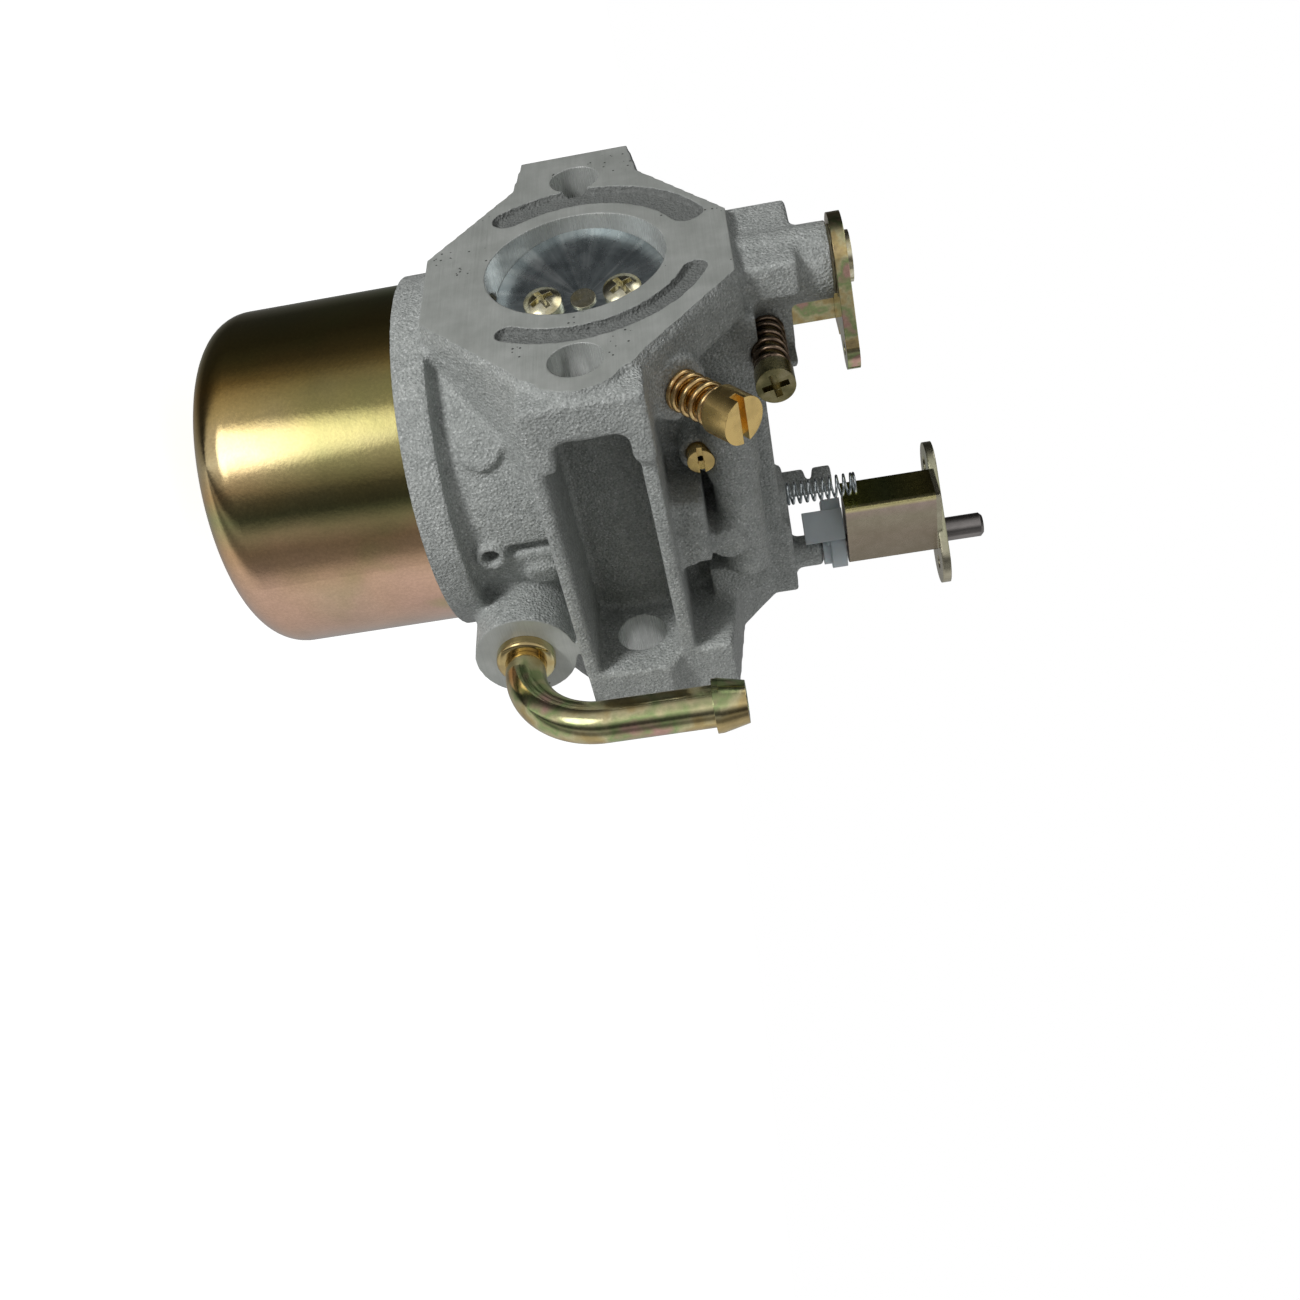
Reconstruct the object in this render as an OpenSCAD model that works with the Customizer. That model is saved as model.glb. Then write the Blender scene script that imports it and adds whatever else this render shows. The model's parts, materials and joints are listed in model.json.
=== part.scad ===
// Side-draught float-bowl carburetor for a small engine, in its in-use position.
// Origin: centre of the throttle bore on the engine flange face. +Y runs along the bore to the air
// side, +Z is up (the bowl hangs down), +X is the side with the fuel elbow. Millimetres.

/* [Bore] */
// Radius of the throttle bore
bore_r = 13.5; // [11:0.1:16.5]
// Radius of the venturi throat
throat_r = 11; // [9:0.1:13.5]
// Radius of the air horn bore
air_r = 16; // [13:0.1:19.5]
// Length from the engine face to the air face
body_len = 62; // [51:0.1:76]
// Length of the parallel air horn
horn_len = 18; // [15:0.1:22]

/* [Flanges] */
// Distance of each stud hole from the bore centre
stud_x = 25.1; // [23:0.1:31]
// Radius of the stud holes
stud_r = 3.9; // [3:0.05:4.7]
// Half height of the flanges
flange_z = 22.7; // [21:0.1:28]
// Thickness of the engine flange
flange_t = 8; // [6.5:0.1:10]
// Thickness of the air flange
air_flange_t = 10; // [8:0.1:12]
// Height of the machined face over the rough casting
face_t = 1.2; // [0.8:0.1:1.6]
// Depth of the two recesses in the engine face
recess_t = 1; // [0.6:0.1:1.4]
// Thickness of the ribs beside the stud channels
rib_t = 2.2; // [1.8:0.1:2.8]

/* [Float bowl] */
// Outer radius of the bowl
bowl_r = 26.9; // [24:0.1:32.5]
// Distance of the bowl axis from the engine face
bowl_y = 29.6; // [28:0.1:33]
// Level of the bowl joint below the bore centre
joint_z = 27.9; // [26.5:0.1:33]
// Depth of the bowl below the joint
bowl_depth = 33.7; // [30:0.1:40]
// Wall of the bowl
bowl_wall = 1; // [0.8:0.1:1.3]
// Radius of the bowl's bottom corner
bowl_corner = 6.5; // [5:0.1:8]
// Radius of the pressed disc under the bolt
dish_r = 11.5; // [9.5:0.1:13]
// Depth of the pressed disc below the bowl's floor
dish_t = 1.2; // [0.6:0.1:1.5]
// Thickness of the bowl gasket
gasket_t = 1.5; // [1:0.1:2]
// Radius of the central post
post_r = 5.2; // [4.6:0.1:6.2]
// Width of the bowl bolt's hexagon across the flats
bolt_flats = 10; // [8:0.1:12]
// Height of the bowl bolt's head
bolt_head = 4; // [3:0.1:5]
// Radius of the bowl bolt's shank
bolt_r = 3; // [2.4:0.1:3.5]

/* [Float and needle] */
// Radial room between the float and the bowl
float_gap = 4.4; // [4:0.1:6]
// Radius of the hole through the float
float_hole_r = 9.6; // [9.4:0.1:11]
// Height of the float
float_h = 18; // [14:0.1:21]
// Distance of the float pin from the bowl axis
float_pin_y = 19; // [18:0.1:20]
// Distance of the needle from the float pin
needle_arm = 7; // [6.5:0.1:8]
// Radius of the float pin
float_pin_r = 1; // [0.8:0.05:1.2]
// Radius of the needle's body
needle_r = 2; // [1.7:0.05:2.3]

/* [Throttle] */
// Distance of the throttle shaft from the engine face
throttle_y = 6.8; // [6.2:0.1:8.2]
// Radius of the throttle shaft
throttle_shaft_r = 3.5; // [3:0.05:4]
// Thickness of the throttle plate
throttle_plate_t = 1; // [0.8:0.1:1.2]
// Tilt of the closed throttle plate
throttle_tilt = 16; // [12:1:18]
// Level of the throttle boss's end face
throttle_boss_z = 36.4; // [35.8:0.1:43]
// Radius of the lever's round end
lever_r = 6.6; // [6:0.1:8]
// Distance of the governor hole from the shaft
lever_arm = 13.2; // [11:0.1:16]
// Thickness of the throttle lever
lever_t = 1.9; // [1.6:0.1:2.3]

/* [Choke] */
// Distance of the choke shaft from the air face
choke_inset = 3; // [2.8:0.1:3.6]
// Sideways offset of the choke shaft from the bore centre
choke_x = 4.5; // [3.8:0.1:5.4]
// Radius of the choke shaft
choke_shaft_r = 1.8; // [1.7:0.05:2.3]
// Thickness of the choke plate
choke_plate_t = 0.8; // [0.7:0.1:1]
// Tilt of the closed choke plate
choke_tilt = 10; // [8:1:12]
// Turn of the choke plate from closed to the drawn, open position
choke_open = 80; // [60:1:80]
// Length of the bracket on the choke shaft
bracket_len = 14.8; // [12.4:0.1:17.6]
// Level of the choke shaft's end above the bracket
choke_stub = 6.6; // [5.2:0.1:8]
// Thickness of the bracket's sheet
sheet_t = 1.2; // [1:0.1:1.4]

/* [Adjusting screws] */
// Radius of the stop screw's shank
stop_r = 1.7; // [1.4:0.05:1.75]
// Length of the spring on the stop screw
stop_spring_len = 11.2; // [9.4:0.1:13.4]
// Radius of the stop screw's head
stop_head_r = 2.9; // [2.6:0.05:3.5]
// Radius of the mixture screw's shank
mix_r = 2; // [1.7:0.05:2.05]
// Length of the spring on the mixture screw
mix_spring_len = 7.8; // [6.5:0.1:9.3]
// Radius of the mixture screw's head
mix_head_r = 3.5; // [3.1:0.05:4.2]
// Angle of the mixture screw above the horizontal
mix_angle = 40; // [35:1:45]

/* [Fuel inlet] */
// Radius of the fuel tube
tube_r = 3.15; // [2.7:0.05:3.6]
// Wall of the fuel tube
tube_wall = 0.9; // [0.7:0.05:1]
// Radius of the elbow's bend
bend_r = 12.2; // [9:0.1:14]
// Distance of the upright tube from the boss face
tube_reach = 15.7; // [14:0.1:19]
// Level of the tube's open end above the bore centre
tube_top = 15.3; // [13:0.1:18]
// Radius of the barb at the tube's end
barb_r = 4.05; // [3.8:0.05:4.8]
// Radius of the fuel boss
inlet_boss_r = 7.9; // [7:0.1:9.4]
// Radius of the collar round the tube
collar_r = 4.6; // [4.2:0.1:5.5]

/* [Fits] */
// Radial running clearance of shafts in their holes
run_gap = 0.05; // [0.02:0.01:0.08]
// Clearance of pieces that are pressed or screwed in
seat_gap = 0.02; // [0.01:0.01:0.04]

/* [Hidden] */
$fn = 64;
// overlap that joins two shapes of one piece
lap = 0.1;

// colours
cast_col = "#a9adac";
zinc_col = "#c8a95a";
brass_col = "#c79a3e";
steel_col = "#8e9092";

// flange outline
arm_end_x = stud_x + 8.3;
arm_z = stud_r + 4.8;
side_x = 9.7;
shoulder_x = 24.4;
shoulder_z = arm_z + 1.3;

// barrel, tub and ring over the bowl
barrel_r = bore_r + 5;
horn_r = air_r + 2.6;
ring_r = bowl_r + 1.1;
ring_h = 5;
rebate_t = 2.5;
rim_z = -joint_z + rebate_t - gasket_t;
tub_r = bowl_r - 1.9;
tub_top = -arm_z;
roof_z = -joint_z + 2.9;
roof_r = bowl_r - 4.9;
floor_z = -joint_z - bowl_depth;
inner_floor_z = floor_z + bowl_wall;
washer_t = 0.6;
washer_r = bolt_flats / 2 + 1.2;
bolt_len = 10;

// jets on the post's axis
jet_r = 2.6;
jet_len = 7;
jet_z = inner_floor_z + bolt_len + 1;
nozzle_r = 2.4;
nozzle_tip_z = -throat_r + 3;

// float and needle
pin_y = bowl_y + float_pin_y;
pin_z = roof_z - 3.5;
ear_t = 2.5;
ear_in = 5.5;
hub_r = float_pin_r + 1.2;
float_top = pin_z - 5.5;
float_r = bowl_r - bowl_wall - float_gap;
tab_z = pin_z - 1.5;
tab_t = 1.5;
needle_y = pin_y - needle_arm;
seat_r = needle_r + 1.5;
seat_low = roof_z - 1.2;
seat_high = roof_z + 5;
cone_z = seat_high - 2.6;
needle_lift = 1.1;

// side chest that carries the shafts' upper ends
chest_z = 24.5;
chest_x = 10;
boss_r = throttle_shaft_r + 2.1;
block_z = throttle_boss_z - 4.8;
block_y = 1.8;
block_low_y = throttle_y + 0.8;

// pilot jet in the flank
pilot_y = 22.9;
pilot_z = 13.8;

// throttle
throttle_foot = 21.3;
plate_gap = 0.05;
screw_z = 6;
screw_head_r = 2.9;
screw_head_t = 1.8;
screw_r = 1.5;
seal_t = 0.35;
lever_z = throttle_boss_z + seal_t + 0.05;
stub_r = throttle_shaft_r - 0.7;
rivet_r = throttle_shaft_r + 0.25;
lever_angle = 45;
lever_end_r = 3.2;

// stop screw along X
stop_y = throttle_y + 8.2;
stop_z = 26;
stop_face_x = 3;
stop_wall_x = -0.3;
stop_tip_x = -1.65;
stop_tab_t = 1.5;
stop_tab_end = 3.1;
stop_head_len = 3.3;

// mixture screw
mix_base = [22.9, 9, 12.9];
mix_head_len = 4.5;
mix_hole_len = 8;
mix_boss_r = mix_head_r + 1.3;

// choke
choke_y = body_len - choke_inset;
choke_foot = flange_z - 1.7;
lug_z = 25.8;
neck_z = 30.7;
neck_r = choke_shaft_r + 0.9;
clip_low = 32;
clip_t = 2.5;
post_top = 34.2;
bracket_z = clip_low + clip_t + 0.3;
end_plate_z = bracket_z + bracket_len;
end_plate_t = 1.4;
bracket_x = 1.4;
bracket_reach = 11;
bracket_half = 3.8;
bracket_y = choke_y - bracket_reach;
choke_screw_r = 0.9;
choke_stub_r = choke_shaft_r + 0.2;
stub_chamfer = 0.5;
choke_side = min(sqrt(pow(air_r, 2) - pow(choke_x, 2)) - 0.15, air_r);
wire_small = 0.2;
coil_small = 1.7;
// the spring stands just outside the circle that the bracket's corner sweeps
spring_x = choke_x + 0.8;
spring_y = choke_y - norm([bracket_reach, bracket_half]) - coil_small - wire_small - 0.2;
spring_len = 11.3;

// fuel inlet
inlet_y = 48;
inlet_z = -17.7;
inlet_face_x = ring_r + 2.8;
tube_x = inlet_face_x + tube_reach;
tube_in = 8.3;
passage_r = 1.6;

// ---------- helpers ----------

// cylinder along +Y from p
module rod_y(p, r, l) translate(p) rotate([-90, 0, 0]) cylinder(r = r, h = l);

// cylinder along +X from p
module rod_x(p, r, l) translate(p) rotate([0, 90, 0]) cylinder(r = r, h = l);

// cylinder along +Z from p
module rod_z(p, r, l) translate(p) cylinder(r = r, h = l);

// box between two corners
module block(a, b) translate(a) cube(b - a);

// outline in X and Z, given depth along Y
module slab_y(y0, y1) translate([0, y1, 0]) rotate([90, 0, 0]) linear_extrude(y1 - y0) children();

// turned about the throttle shaft, X' along the closed plate
module throttle_frame() translate([0, throttle_y, 0]) rotate([0, 0, throttle_tilt]) children();

// turned about the choke shaft: a is 0 when closed
module choke_frame(a) translate([choke_x, choke_y, 0]) rotate([0, 0, choke_tilt + a]) children();

// along the mixture screw: Z' points out of the casting
module mix_frame() translate(mix_base) rotate([0, 90 - mix_angle, 0]) children();

// radially out of the bowl axis at a level and an angle
module tub_frame(a, z) translate([0, bowl_y, z]) rotate([0, 0, a]) rotate([0, 90, 0]) children();

// beside the choke shaft, an eighth of a turn from the casting's sides
module lug_frame() translate([choke_x, choke_y, 0]) rotate([0, 0, -45]) children();

// points of one ring of a coil's wire
function coil_ring(rc, rw, t, h, n, sides) = [for (i = [0 : sides - 1])
    let (a = 360 * i / sides, s = 360 * n * t)
    [(rc + rw * cos(a)) * cos(s), (rc + rw * cos(a)) * sin(s), rw + (h - 2 * rw) * t + rw * sin(a)]];

// coil spring standing on z = 0: rc mean radius, rw wire radius, h height, n turns
module coil(rc, rw, h, n) {
    sides = 6;
    rings = round(n * 12);
    pts = [for (k = [0 : rings]) each coil_ring(rc, rw, k / rings, h, n, sides)];
    walls = [for (k = [0 : rings - 1], i = [0 : sides - 1])
        let (j = (i + 1) % sides, a = k * sides, b = a + sides) [a + i, b + i, b + j, a + j]];
    ends = [[for (i = [0 : sides - 1]) i], [for (i = [sides - 1 : -1 : 0]) rings * sides + i]];
    polyhedron(points = pts, faces = concat(walls, ends), convexity = 8);
}

// slotted or crossed drive cut into a face at z = 0, looking down -Z
module cross_cut(r, w, d) for (a = [0, 90]) rotate([0, 0, a])
    translate([-r, -w / 2, -d]) cube([2 * r, w, d + 1]);

// pan head screw, head on z >= 0, shank down
module pan_screw(head_r, head_t, r, l) difference() {
    union() {
        cylinder(r = head_r, h = head_t * 0.55);
        translate([0, 0, head_t * 0.55]) intersection() {
            cylinder(r = head_r, h = head_t * 0.45);
            dome(head_r, head_t * 0.45);
        }
        translate([0, 0, -l]) cylinder(r = r, h = l + lap);
    }
    translate([0, 0, head_t]) cross_cut(head_r * 0.62, head_r * 0.3, head_t * 0.7);
}

// radius of the ball whose cap has radius r and height t
function dome_ball(r, t) = (r * r + t * t) / (2 * t);

// that cap, standing on z = 0
module dome(r, t) translate([0, 0, t - dome_ball(r, t)]) sphere(r = dome_ball(r, t));

// ring-shaped outline between two radii, from angle a0 to a1, with round ends
module arc_slot(r0, r1, a0, a1) {
    mid = (r0 + r1) / 2;
    intersection() {
        difference() {
            circle(r = r1);
            circle(r = r0);
        }
        polygon([[0, 0], for (i = [0 : 6]) let (a = a0 + (a1 - a0) * i / 6) 40 * [cos(a), sin(a)]]);
    }
    for (a = [a0, a1]) translate(mid * [cos(a), sin(a)]) circle(r = (r1 - r0) / 2);
}

// ---------- outlines ----------

// engine flange, X and Z, grown by g all round
module flange_outline(g) {
    polygon([[-arm_end_x - g, -arm_z - g], [-shoulder_x - g, -shoulder_z - g],
        [-side_x + 2, -flange_z - g], [side_x, -flange_z - g], [shoulder_x + g, -shoulder_z - g],
        [stud_x + 3, -arm_z + 1.4 - g], [stud_x + 3, arm_z - 1.4 + g], [shoulder_x + g, shoulder_z + g],
        [side_x, flange_z + g], [-side_x + 2, flange_z + g], [-shoulder_x - g, shoulder_z + g],
        [-arm_end_x - g, arm_z + g]]);
    translate([stud_x, 0]) circle(r = stud_r + 3.2 + g);
}

// air flange, X and Z: its lower arm is wide towards +Z
module air_outline() {
    polygon([[-arm_end_x, -arm_z], [-shoulder_x, -shoulder_z], [-side_x, -flange_z],
        [side_x, -flange_z], [shoulder_x, -shoulder_z], [arm_end_x + 0.2, -arm_z],
        [arm_end_x + 0.2, stud_r], [arm_end_x - 2.6, stud_r + 2.4], [arm_end_x - 2.6, arm_z + 5.2],
        [16.8, 16], [side_x + 0.2, flange_z - 0.4], [-side_x, flange_z], [-shoulder_x, shoulder_z],
        [-arm_end_x, arm_z]]);
}

// ---------- body ----------

// one stud channel on the +X side: block, two ribs
module stud_side() {
    difference() {
        block([17, face_t, -arm_z], [arm_end_x, 12, arm_z]);
        rod_y([stud_x, 0, 0], stud_r, 13);
        channel_cut();
    }
    block([15, 11, -arm_z - 0.3], [arm_end_x, body_len - air_flange_t + lap, -arm_z + rib_t - 0.3]);
    translate([0, 0, arm_z - rib_t - 0.4]) linear_extrude(rib_t)
        polygon([[15, 11], [arm_end_x, 11], [arm_end_x, 12.5], [arm_end_x - 2, 14],
            [arm_end_x - 2.6, body_len - air_flange_t + lap], [15, body_len - air_flange_t + lap]]);
}

// window behind the engine flange, open to +X
module channel_cut() {
    top = flange_t - 0.8;
    low = -arm_z + 3.8;
    high = arm_z - 3.2;
    corner = 2;
    block([16, top + corner, low], [arm_end_x + 1, 14, high]);
    block([16, top, low + corner], [arm_end_x + 1, top + corner + lap, high - corner]);
    for (z = [low + corner, high - corner]) rod_x([16, top + corner, z], corner, arm_end_x - 15);
}

// tub over the bowl with the joint ring, roof recess, post and float ears
module tub_solid() {
    rod_z([0, bowl_y, -joint_z], ring_r, ring_h);
    rod_z([0, bowl_y, -joint_z + ring_h - lap], tub_r, joint_z - ring_h + tub_top + lap);
    // faces that run back from the flange's lower edges into the tub
    intersection() {
        slab_y(face_t, bowl_y) flange_outline(0.4);
        block([-tub_r, 0, -flange_z], [tub_r, bowl_y, tub_top]);
    }
}

// round pads and the small hollow pin on the tub's flank
module flank_pads() {
    tub_frame(-35, -17.2) cylinder(r = 3.2, h = tub_r + 1.1);
    tub_frame(18, -12.6) cylinder(r = 2.6, h = tub_r + 0.9);
    tub_frame(4, -19.4) cylinder(r = 2.3, h = tub_r + 1.2);
    tub_frame(145, -17.2) cylinder(r = 3.2, h = tub_r + 1.1);
    tub_frame(180, -14) cylinder(r = 2.6, h = tub_r + 0.9);
}

// chest between the flanges on the +Z side
module chest() {
    block([-14, flange_t - lap, 10], [chest_x, body_len - air_flange_t + lap, chest_z]);
    // shelf in front of the air flange
    block([chest_x - 1, body_len - 16, 12], [20, body_len - air_flange_t + lap, 21.5]);
    // wall and pads beside the right-hand rib
    block([14, 27, arm_z - 3], [26, 38.5, 13.2]);
    rod_x([14, 35, 9.6], 3.1, 13.2);
    rod_x([10, 37.6, 15.8], 2.8, 14);
    // pilot passage boss, in two diameters
    rod_y([19, 18, 18.3], 4, 10);
    rod_y([19, 27.9, 18.3], 3.5, body_len - 16 - 27.9 + lap);
    block([chest_x - 1, 20, 15], [19, body_len - 14, 20.5]);
    // boss of the pilot jet
    rod_x([12, pilot_y, pilot_z], 3.2, 8);
}

// square and round bosses of the throttle shaft, with the stop screw's wall
module throttle_boss() {
    block([-10.7, block_y, 20], [7.5, 4.5, block_z]);
    block([-boss_r, block_y, 20], [7.5, block_low_y, block_z]);
    rod_z([0, throttle_y, 20], boss_r, throttle_boss_z - 20);
    // stop screw: threaded wall and the web behind the spring
    block([stop_wall_x, block_low_y, 20], [stop_face_x, stop_y + 4.2, stop_z + 4.2]);
    block([stop_wall_x, stop_y + 3, 20], [8, stop_y + 4.2, stop_z + 4.2]);
    // small upright lug behind the flange
    block([-14, 6, 18], [-11.4, 10, flange_z + 1.6]);
}

// boss of the mixture screw, leaning out of the casting
module mix_boss() mix_frame() {
    translate([0, 0, -12]) cylinder(r = mix_boss_r, h = 12);
    translate([0, 0, -12]) cylinder(r1 = mix_boss_r + 3, r2 = mix_boss_r, h = 9);
}

// lug, slotted post and neck that carry the choke shaft's upper end
module choke_lug() {
    block([-6, body_len - 14.2, 20], [choke_x + 6, body_len, lug_z]);
    rod_z([choke_x, choke_y, lug_z - lap], neck_r, neck_z - lug_z + lap);
    // pad under the spring
    block([spring_x - coil_small - 0.7, spring_y - coil_small - 0.7, 20],
        [spring_x + coil_small + 0.7, body_len - 14, lug_z]);
    difference() {
        block([-9.2, body_len - 10, 20], [-5.8, body_len - 6, post_top]);
        lug_frame() block([-8, -16, 29.7], [0, -12.2, 30.9]);
    }
}

// fuel boss on the tub
module inlet_boss() {
    rod_x([6, inlet_y, inlet_z], inlet_boss_r, inlet_face_x - 6);
}

// turned shape of the whole air way, from the engine face to the air face
module air_way() rotate([-90, 0, 0]) rotate_extrude() polygon([[0, -1], [bore_r, -1],
    [bore_r, bowl_y - 7], [throat_r, bowl_y - 2], [throat_r, bowl_y + 2],
    [air_r, body_len - horn_len], [air_r, body_len + 1], [0, body_len + 1]]);

// everything drilled or cored out of the casting
module body_cuts() {
    air_way();
    for (s = [-1, 1]) {
        rod_y([s * stud_x, -1, 0], stud_r, flange_t + 7);
        rod_y([s * stud_x, body_len - air_flange_t - 1, 0], stud_r, air_flange_t + 2);
    }
    // recesses in the engine face
    slab_y(-1, recess_t) arc_slot(bore_r + 3.4, bore_r + 6.9, -31, 68);
    slab_y(-1, recess_t) arc_slot(bore_r + 3, bore_r + 8, 117, 213);
    // bowl joint: rebate for the rim and the gasket, and the roof of the float chamber
    rod_z([0, bowl_y, -joint_z - 1], bowl_r + 0.2, rebate_t + 1);
    rod_z([0, bowl_y, -joint_z - 1], roof_r, roof_z + joint_z + 1);
    // throttle and choke shafts
    rod_z([0, throttle_y, -throttle_foot - 0.3], throttle_shaft_r + run_gap, throttle_boss_z + 40);
    rod_z([choke_x, choke_y, -choke_foot - 0.3], choke_shaft_r + run_gap, neck_z + 40);
    // stop screw with room for its spring, and mixture screw
    rod_x([stop_tip_x - 1, stop_y, stop_z], stop_r + run_gap, stop_face_x - stop_tip_x + 2);
    rod_x([stop_face_x, stop_y, stop_z], stop_r + 1.2, chest_x - stop_face_x + lap);
    mix_frame() translate([0, 0, -mix_hole_len]) cylinder(r = mix_r + run_gap, h = mix_hole_len + 1);
    mix_frame() translate([0, 0, -mix_hole_len - 6.5]) cylinder(r = 0.7, h = 7);
    // fuel way: tube seat, slanted drilling and needle seat
    rod_x([inlet_face_x - tube_in, inlet_y, inlet_z], tube_r + seat_gap, tube_in + 1);
    slant = atan2(inlet_y - needle_y, inlet_face_x - tube_in + 1);
    translate([0, needle_y, inlet_z]) rotate([0, 0, slant]) rotate([0, 90, 0]) translate([0, 0, -2.2])
        cylinder(r = passage_r, h = inlet_face_x - tube_in + 3.7);
    rod_z([0, needle_y, roof_z - 1], seat_r + seat_gap, seat_high - roof_z + 1);
    rod_z([0, needle_y, seat_high - lap], passage_r - 0.4, inlet_z - seat_high - 0.3);
    // jets in the air face and their ways
    for (s = [-1, 1]) {
        rod_y([-5, body_len - 5, s * (air_r + 3.4)], 1.8 + seat_gap, 6);
        rod_y([-5, body_len - 16, s * (air_r + 3.4)], 1, 12);
    }
    // pilot jet, welch plug, hollow pin and slot on the flank
    rod_x([16.5, pilot_y, pilot_z], 2 + seat_gap, 6);
    rod_z([-4, bowl_y, chest_z - 1], 4.5 + seat_gap, 2);
    tub_frame(4, -19.4) translate([0, 0, tub_r - 2]) cylinder(r = 1.4, h = 4);
    block([tub_r - 2, bowl_y + 1, -17], [tub_r + 1, bowl_y + 2.6, -arm_z - 0.8]);
}

// central post with the jets' hole and the cross drilling under them
module post() difference() {
    rod_z([0, bowl_y, inner_floor_z], post_r, roof_z - inner_floor_z + 1);
    rod_z([0, bowl_y, inner_floor_z - 1], bolt_r + seat_gap, bolt_len + 1);
    rod_z([0, bowl_y, inner_floor_z + bolt_len - lap], jet_r + seat_gap, jet_len + 1 + 2 * lap);
    rod_x([-post_r - 1, bowl_y, jet_z - 0.6], 0.8, 2 * post_r + 2);
}

// two ears that hold the float pin, inside the gasket
module float_ears() for (s = [-1, 1]) difference() {
    intersection() {
        block([s > 0 ? ear_in : -ear_in - ear_t, pin_y - 3, pin_z - 2.8],
            [s > 0 ? ear_in + ear_t : -ear_in, pin_y + 2.6, roof_z + 1]);
        rod_z([0, bowl_y, pin_z - 4], roof_r + 0.3, 12);
    }
    rod_x([-12, pin_y, pin_z], float_pin_r + seat_gap, 24);
}

module body() color(cast_col) {
    difference() {
        union() {
            difference() {
                union() {
                    slab_y(0, face_t + lap) flange_outline(0);
                    slab_y(face_t, flange_t) flange_outline(0.4);
                    slab_y(body_len - air_flange_t, body_len) air_outline();
                    rod_y([0, 1, 0], barrel_r, bowl_y);
                    rod_y([0, bowl_y - 1, 0], horn_r, body_len - bowl_y);
                    stud_side();
                    mirror([1, 0, 0]) stud_side();
                    tub_solid();
                    flank_pads();
                    chest();
                    throttle_boss();
                    mix_boss();
                    choke_lug();
                    inlet_boss();
                }
                body_cuts();
            }
            post();
            float_ears();
        }
        rod_z([0, bowl_y, inner_floor_z + bolt_len + jet_len], nozzle_r + seat_gap, joint_z + bowl_depth);
    }
}

// ---------- bowl ----------

// bowl profile out to radius r, from the level z, with a bottom corner of radius c and a pressed disc
module bowl_profile(r, z, c, disc_r) {
    shelf = z + dish_t;
    translate([0, shelf + c]) square([r, rim_z - shelf - c]);
    translate([0, shelf]) square([r - c, c + lap]);
    translate([r - c, shelf + c]) circle(r = c);
    polygon([[0, z], [disc_r, z], [disc_r + dish_t, shelf + lap], [0, shelf + lap]]);
}

module float_bowl() color(zinc_col) translate([0, bowl_y, 0]) rotate_extrude() difference() {
    bowl_profile(bowl_r, floor_z, bowl_corner, dish_r);
    bowl_profile(bowl_r - bowl_wall, inner_floor_z, bowl_corner - bowl_wall, dish_r - bowl_wall / 2);
    translate([0, rim_z - 1]) square([bowl_r - bowl_wall, 2]);
    translate([-bowl_r, floor_z - 1]) square([bowl_r + bolt_r + 0.2, bowl_wall + 2]);
    translate([-2 * bowl_r, floor_z - 1]) square([2 * bowl_r, joint_z + bowl_depth]);
}

module bowl_gasket() color("#2a2826") difference() {
    rod_z([0, bowl_y, rim_z], bowl_r, gasket_t);
    rod_z([0, bowl_y, rim_z - 1], roof_r + 0.6, gasket_t + 2);
}

module bowl_washer() color("#b9bcbd") difference() {
    rod_z([0, bowl_y, floor_z - washer_t], washer_r, washer_t);
    rod_z([0, bowl_y, floor_z - washer_t - 1], bolt_r + 0.2, washer_t + 2);
}

module bowl_bolt() color(zinc_col) {
    head_top = floor_z - washer_t;
    intersection() {
        translate([0, bowl_y, head_top - bolt_head])
            cylinder(r = bolt_flats / sqrt(3), h = bolt_head, $fn = 6);
        translate([0, bowl_y, head_top - bolt_head]) cylinder(r1 = bolt_flats / 2 - 0.3,
            r2 = bolt_flats / 2 - 0.3 + bolt_head, h = bolt_head);
    }
    rod_z([0, bowl_y, head_top - lap], bolt_r, inner_floor_z - head_top + bolt_len - 0.5);
}

module main_jet() color(brass_col) difference() {
    rod_z([0, bowl_y, jet_z], jet_r, jet_len - 0.4);
    rod_z([0, bowl_y, jet_z - 1], 0.6, jet_len + 2);
    rod_z([0, bowl_y, jet_z - 1], 1.3, 2.5);
    block([-jet_r - 1, bowl_y - 0.4, jet_z - 1], [jet_r + 1, bowl_y + 0.4, jet_z + 1]);
}

module emulsion_tube() color(brass_col) difference() {
    rod_z([0, bowl_y, jet_z + jet_len], nozzle_r, nozzle_tip_z - jet_z - jet_len);
    rod_z([0, bowl_y, jet_z], 1.2, nozzle_tip_z - jet_z + 1);
    for (k = [0 : 3], a = [0, 90]) translate([0, bowl_y, jet_z + jet_len + 4 + 6 * k]) rotate([0, 0, a])
        rod_x([-nozzle_r - 1, 0, 0], 0.5, 2 * nozzle_r + 2);
}

// ---------- float and needle ----------

module needle_seat() color(brass_col) translate([0, needle_y, 0]) rotate_extrude()
    polygon([[needle_r + run_gap, seat_low], [seat_r + 0.5, seat_low], [seat_r + 0.5, roof_z - seat_gap],
        [seat_r, roof_z - seat_gap], [seat_r, seat_high], [0.9, seat_high], [0.9, cone_z + 1.2],
        [needle_r + run_gap, cone_z]]);

module float_needle() color("#6c6e70") translate([0, needle_y, 0]) rotate_extrude() {
    body_top = cone_z - needle_lift - 0.1;
    foot_z = tab_z + 0.05;
    polygon([[0, foot_z], [0.7, foot_z], [0.7, foot_z + 1.3], [needle_r, foot_z + 1.3],
        [needle_r, body_top], [needle_r - 0.15, body_top], [0.75, body_top + 1.2], [0, body_top + 1.2]]);
}

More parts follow.
